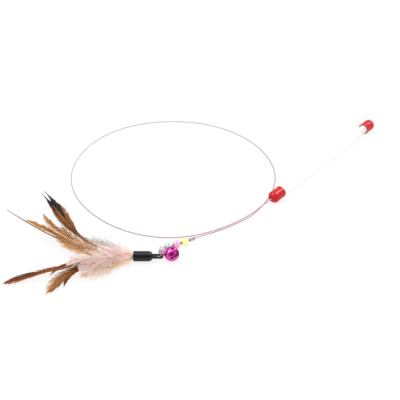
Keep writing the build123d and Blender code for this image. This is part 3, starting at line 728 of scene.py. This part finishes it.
def keratin(name, down, root, middle, tip, shaft, pale=None, streak=None, edge=None):
    """Feather finish, satin, with colours along the vane from its root to its tip.

    Over these lie paler clumps, a pale or dark edge and a streak that widens to the tip, where a feather has
    them, then the shaft's colour and the down's.
    """
    material, tree, surface = finish(name, Roughness=0.55, IOR=1.55, Specular_IOR_Level=0.2)
    facts = {
        key: add(tree, "ShaderNodeAttribute", attribute_name=key).outputs["Fac"]
        for key in ("vane", "down", "out", "side", "tint", "clump", "shaft")
    }
    colour = add(tree, "ShaderNodeValToRGB", {0: facts["vane"]})
    colour.color_ramp.elements[0].color = linear(root)
    colour.color_ramp.elements[1].color = linear(tip)
    colour.color_ramp.elements.new(0.5).color = linear(middle)
    layers = []
    if pale:
        pale_colour, most = pale
        here = add(tree, RANGE, {
            "Value": facts["clump"], "From Min": PALE_FROM, "From Max": PALE_TO, "To Max": most,
        })
        layers.append((here, pale_colour))
    if edge:
        edge_colour, edge_from, edge_side = edge
        here = add(tree, RANGE, {
            "Value": facts["out"], "From Min": edge_from, "From Max": edge_from + EDGE_FADE,
        })
        one_side = add(tree, MATH, {0: facts["side"], 1: 0.5 * edge_side, 2: 0.5}, operation="MULTIPLY_ADD")
        here = add(tree, MATH, {0: here, 1: one_side}, operation="MULTIPLY")
        layers.append((here, edge_colour))
    if streak:
        streak_colour, streak_from, streak_to = streak
        reach = add(tree, RANGE, {
            "Value": facts["vane"], "From Min": streak_from, "From Max": streak_to,
            "To Min": STREAK_START, "To Max": STREAK_FULL,
        })
        inside = add(tree, MATH, {0: reach, 1: facts["out"]}, operation="SUBTRACT")
        here = add(tree, RANGE, {"Value": inside, "From Min": -STREAK_FADE, "From Max": STREAK_FADE})
        layers.append((here, streak_colour))
    if shaft:
        layers.append((facts["shaft"], shaft))
    layers.append((facts["down"], down))
    for share, layer in layers:
        colour = add(tree, "ShaderNodeMix", {"Factor": share, 6: colour, 7: linear(layer)}, data_type="RGBA")
    # Pale light between the barbs washes the colours out, so they are drawn a little stronger
    light = add(tree, RANGE, {"Value": facts["tint"], "To Min": DARKEST_BARB, "To Max": LIGHTEST_BARB})
    colour = add(tree, "ShaderNodeHueSaturation", {"Color": colour, "Value": light, "Saturation": STRONGER})
    connect(tree, surface, {"Base Color": colour})
    return material


# Real barbs are about 0.1 mm wide and too fine to show, so these are drawn some eight times as coarse
BARB_PITCH = 0.42
VANE = {
    "Tip Reach": 1 * MM, "Lock": 1, "Barb Width": 0.85 * MM, "Barb Thickness": 0.12 * MM,
    "Lean": math.radians(42), "Parting": 0.35, "Spread": 0.12, "Curl": 0.25, "Droop": 0.08, "Wave": 0.25,
    "Wave Size": 9 * MM, "Stray": 0.25, "Shaft Radius": QUILL / 2,
}
FINISHES = {
    "tan_feather": keratin(
        "tan hackle", "#F3CFC0", "#F0C696", "#E2AA6C", "#D69C5A", "#FAE8C6", pale=("#F2D6B8", 0.5)),
    "golden_feather": keratin("golden hackle", "#F0CDB4", "#D8AA6E", "#C48E50", "#B88650", "#9A683A"),
    "brown_feather": keratin(
        "brown hackle", "#F0CCB2", "#8A5632", "#B07848", "#B07C4C", "#7E5030", pale=("#D4AC88", 0.55),
        edge=("#DCC6B6", 0.35, -1)),
    "quill": keratin("stripped quill", "#C8A478", "#B08450", "#8A6A44", "#5A4A3C", None),
    "black_feather": keratin(
        "black-centred hackle", "#C09070", "#74442A", "#A06C3E", "#A87444", "#2A1A18",
        streak=("#140D14", 0.26, 0.68)),
    "dark_feather": keratin(
        "dark hackle", "#FFE2D2", "#9A5C34", "#542814", "#6E381C", "#804C2C", edge=("#B8703E", 0.35, -1)),
    "pale_feather": keratin(
        "pale-edged hackle", "#FFE6D6", "#7C4424", "#A06A42", "#AE7C56", "#6E4422",
        edge=("#D2BAA6", 0.4, 1)),
}

# How each finish's feathers are built: tip power, width of the down, near share and shaft's tip
BUILDS = {
    "tan_feather": (1.1, 4.5, 0.45, 0.12),
    "golden_feather": (1.0, 2.0, 0.6, 0.12),
    "brown_feather": (1.3, 2.2, 1.0, 0.12),
    "quill": (0.8, 0.6, 1.0, 0.2),
    "black_feather": (1.7, 1.8, 1.0, 0.3),
    "dark_feather": (1.3, 4.5, 1.0, 0.12),
    "pale_feather": (1.6, 4.5, 1.1, 0.12),
}

# Each feather: its finish, seat, two bends, tip and vane
FEATHERS = {
    "tan_feather": (
        "tan_feather", (-0.81, -0.37), (29, 1, -0.6), (59, -7, 3.1), (78.5, -38, 4.2), (31, 0.18, 0.42)),
    "golden_feather": (
        "golden_feather", (-0.37, -0.59), (44, 6, 3.7), (70, -27, 5.7), (104, -43.4, 8.2), (6.5, 0.54, 0.76)),
    "small_brown_feather": (
        "brown_feather", (-0.59, 0.03), (36, 0, 5.2), (71, -15, 8.7), (87.3, -44.3, 15.2), (6, 0.58, 0.76)),
    "bare_shaft": (
        "quill", (-0.16, -0.16), (48, 5, 5.7), (85, -23, 10.2), (122.4, -52.2, 13.2), (1.5, 0.3, 0.5)),
    "brown_wide_feather": (
        "brown_feather", (-0.72, 0.53), (54, 0, 7.2), (63, -36, 13.2), (80, -62.5, 17.2), (12.5, 0.47, 0.6)),
    "black_feather_left": (
        "black_feather", (-0.28, 0.34), (52, 6, 9.2), (66, -39, 15.2), (91.2, -69.2, 20.2), (7, 0.48, 0.62)),
    "black_feather_right": (
        "black_feather", (-0.31, 0.84), (55, 8, 12.2), (62, -40, 18.2), (88.5, -68.7, 23.2),
        (8.5, 0.46, 0.58)),
    "short_dark_feather": (
        "dark_feather", (0.37, -0.84), (22, 6, 1.4), (58, 10, -0.8), (58.7, 37, -3.6), (4, 0.5, 0.75)),
    "pale_edge_feather": (
        "pale_feather", (0.75, -0.53), (30, 4, 4.7), (63, 18, 0.2), (73, 47.8, -3.3), (12, 0.44, 0.62)),
    "slim_brown_feather": (
        "brown_feather", (0.28, -0.19), (28, 3, 4.7), (52, 17, 3.7), (77.5, 22.2, -0.3), (4.5, 0.45, 0.66)),
    "long_dark_feather": (
        "dark_feather", (0.75, -0.03), (34, 13, 7.7), (78, 20, 2.7), (113, 33.8, -3.3), (7.5, 0.5, 0.8)),
    "curled_feather": (
        "dark_feather", (0.37, 0.31), (26, 9, 9.2), (60, 15, 9.7), (72.2, 27.6, 0.7), (4, 0.5, 0.75)),
}
for seed, (node, (slot, seat, bend_1, bend_2, tip, vane)) in enumerate(FEATHERS.items()):
    tip_power, down_width, near_share, shaft_tip = BUILDS[slot]
    feather = grow(f"{node}_plumage", seat, [(bend_1, bend_2, tip)], vane, {
        **VANE, "Tip Power": tip_power, "Seed": seed + 1, "Finish": FINISHES[slot],
        "Barbs": 2 * int(Vector(tip).length / BARB_PITCH), "Down Width": down_width * MM,
        "Shaft Tip": shaft_tip * MM, "Near Share": near_share,
    })
    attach(feather, "lure")
    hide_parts(node)


# Down: dyed marabou tufts packed round the quills at the holder's mouth.
# Each is a thin shaft with long loose barbs that spread all round it and curl as they like.
# Real barbs of down are a few hundredths of a millimetre thick, and these are as fine as still shows.
DOWN = {
    "Down Width": 8 * MM, "Tip Power": 0.8, "Tip Reach": 2 * MM, "Lock": 8, "Barb Width": 0.22 * MM,
    "Barb Thickness": 0.18 * MM, "Lean": math.radians(38), "Parting": 0.9, "Curl": 0.1, "Droop": 0.05,
    "Wave": 1.0, "Wave Size": 5 * MM, "Stray": 4.0, "Shaft Radius": 0.4 * MM, "Shaft Tip": 0.1 * MM,
}
DYED_FROM, DYED_TO = 0.55, 0.9
MOST_DYE = 0.8
# Share of the vane over which the painted light at the mouth fades out
PAINTED_LIGHT_END = 0.5
SOFTER = 0.85


def marabou(name, root, pale, deep):
    """Dyed down: soft and matt, paler towards the ends, with some locks that took more of the dye.

    A painted glow, strongest where the barbs are packed at the mouth, stands in for the light that its many
    fine barbs pass on among them; its colour is also painted lighter at the mouth, against their shade there.
    """
    # Painted glow: the down is given a faint emission, though it is no lamp
    material, tree, surface = finish(
        name, Roughness=0.8, IOR=1.55, Specular_IOR_Level=0.1, Subsurface_Weight=0.5, Subsurface_Scale=3 * MM,
        Subsurface_Radius=(1.0, 0.9, 0.8), Emission_Strength=0.19,
    )
    facts = {
        key: add(tree, "ShaderNodeAttribute", attribute_name=key).outputs["Fac"]
        for key in ("vane", "out", "tint")
    }
    dyed = add(tree, RANGE, {
        "Value": facts["tint"], "From Min": DYED_FROM, "From Max": DYED_TO, "To Max": MOST_DYE,
    })
    colour = linear(root)
    for share, layer in ((facts["out"], pale), (dyed, deep)):
        colour = add(tree, "ShaderNodeMix", {"Factor": share, 6: colour, 7: linear(layer)}, data_type="RGBA")
    # Painted light: the base colour is lighter at the mouth, where the packed barbs shade each other, and the
    # glow fades from the mouth to the ends
    for socket, at_mouth, at_end in (("Base Color", 1.06, 0.97), ("Emission Color", 1.0, 0.5)):
        light = add(tree, RANGE, {
            "Value": facts["vane"], "From Max": PAINTED_LIGHT_END, "To Min": at_mouth, "To Max": at_end,
        })
        painted_light_colour = add(tree, "ShaderNodeHueSaturation", {"Color": colour, "Value": light, "Saturation": SOFTER})
        connect(tree, surface, {socket: painted_light_colour})
    return material


# Each tuft has several plumes. Its row gives the seat, the bends and tip of the middle plume, the vane, the
# number of barbs, their spread, the fan of how far the plumes' tips lie from the middle one's, and the tints
PLUMES = {
    "cream_down": (
        (0, -1), ((14, 5.5, -3.3), (31, 19, -3.1), (45, 24, -3.3)), (11, 0.0, 0.5), 900, 1.2,
        ((0, 0, 1), (2, -7, 6), (-8, 3, 4), (-14, -3, 5)), ("#F6D6B8", "#FCE8D4", "#EABA8E")),
    "pink_down": (
        (0.25, 0.87), ((12, 8, 9.7), (34, 15, 14.7), (57, 17.5, 8.7)), (12, 0.0, 0.45), 1000, 1.4,
        ((0, 2, -1), (-26, -9, -3), (-12, 5, -5)), ("#ECCABE", "#F6E2D8", "#D69C90")),
    "grey_down": (
        (-0.99, 0.12), ((12, -8, 1.2), (30, -18, 2.7), (48, -23, 2.2)), (9, 0.0, 0.6), 500, 0.9,
        ((0, 0, 0), (-8, 5, 1)), ("#D6C8C0", "#E6E0DC", "#B4A298")),
}
FAN_SHARES = (0.2, 0.6, 1.0)
FIRST_DOWN_SEED = 50
for seed, (slot, (seat, middle, vane, barb_count, spread, fan, tints)) in enumerate(PLUMES.items()):
    routes = [
        [Vector(spot) + Vector(aside) * share for spot, share in zip(middle, FAN_SHARES)] for aside in fan
    ]
    plume = grow(f"{slot}_tuft", seat, routes, vane, {
        **DOWN, "Barbs": barb_count, "Spread": spread, "Seed": FIRST_DOWN_SEED + seed,
        "Finish": marabou(f"dyed marabou {slot.split('_')[0]}", *tints),
    })
    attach(plume, "lure")
    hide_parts(f"{slot}_plume")


# Table, light and camera: a plain white sheet under a wide overhead softbox, seen as in the photograph.
# The sheet is paper lit from below as well, so that it stays white and takes only faint shadows.
SHEET_DROP = 0.05 * MM
mesh = bmesh.new()
bmesh.ops.create_grid(mesh, x_segments=1, y_segments=1, size=4.0)
bmesh.ops.translate(mesh, verts=mesh.verts, vec=(0, 0, TABLE - SHEET_DROP))
floor = bpy.data.objects.new("table", bpy.data.meshes.new("table"))
mesh.to_mesh(floor.data)
mesh.free()
bpy.context.scene.collection.objects.link(floor)
paper, tree, surface = finish(
    "backlit white paper", Base_Color=linear("#606060"), Roughness=0.9, Specular_IOR_Level=0.0,
    Emission_Color=linear("#FFFFFF"), Emission_Strength=0.84,
)
dress(floor, paper)

# The room is white all round; in gloss alone it shows dark at eye level and on one side, as black cards
# would, which gives the bell and the caps their contrast
CARD_WAY = (-0.52, -0.44, 0.73)
world = bpy.data.worlds.new("studio")
bpy.context.scene.world = world
world.use_nodes = True
tree = world.node_tree
way = add(tree, "ShaderNodeTexCoord").outputs["Generated"]
height = add(tree, "ShaderNodeSeparateXYZ", {0: way}).outputs[2]
ceiling = add(tree, RANGE, {
    "Value": height, "From Min": 0.1, "From Max": 0.7, "To Min": 0.5, "To Max": 1.1,
}, interpolation_type="SMOOTHSTEP")
facing = add(tree, VECTOR_MATH, {0: way, 1: CARD_WAY}, operation="DOT_PRODUCT")
open_side = add(tree, RANGE, {
    "Value": facing, "From Min": 0.6, "From Max": 0.9, "To Min": 1.0, "To Max": 0.2,
})
in_gloss = add(tree, MATH, {0: ceiling, 1: open_side}, operation="MULTIPLY")
fill = add(tree, RANGE, {"Value": height, "From Min": 0.0, "From Max": 0.7, "To Min": 1.15, "To Max": 1.4})
glossy = add(tree, "ShaderNodeLightPath").outputs["Is Glossy Ray"]
strength = add(tree, "ShaderNodeMix", {"Factor": glossy, 2: fill, 3: in_gloss})
connect(tree, tree.nodes["Background"], {"Color": linear("#FFFFFF"), "Strength": strength})

# Softboxes: place, size, power and whether it lights all surfaces or shows in gloss alone
target = Vector((-0.1352, 0.0582, -0.0061))
SOFTBOX = {
    "overhead": ((-0.2, 0.2, 1.3), 1.2, 5.0, True),
    "left": ((-0.78, 0.45, 0.97), 0.5, 12.0, False),
    "right": ((0.7, -0.15, 0.78), 0.36, 7.0, False),
}
for name, (spot, size, power, lights_all) in SOFTBOX.items():
    lamp = bpy.data.lights.new(name, "AREA")
    lamp.size = size
    lamp.energy = power
    light = bpy.data.objects.new(name, lamp)
    light.location = spot
    light.visible_diffuse = lights_all
    light.rotation_euler = (target - Vector(spot)).to_track_quat("-Z", "Y").to_euler()
    bpy.context.scene.collection.objects.link(light)
bpy.context.scene.view_settings.view_transform = "Standard"

camera = bpy.data.objects.new("camera", bpy.data.cameras.new("camera"))
camera.data.lens = 76.5
camera.data.sensor_width = 36
camera.location = (-0.6614, -0.3847, 0.4937)
camera.rotation_euler = (target - camera.location).to_track_quat("-Z", "Y").to_euler()
bpy.context.scene.collection.objects.link(camera)
bpy.context.scene.camera = camera

bpy.context.view_layer.update()
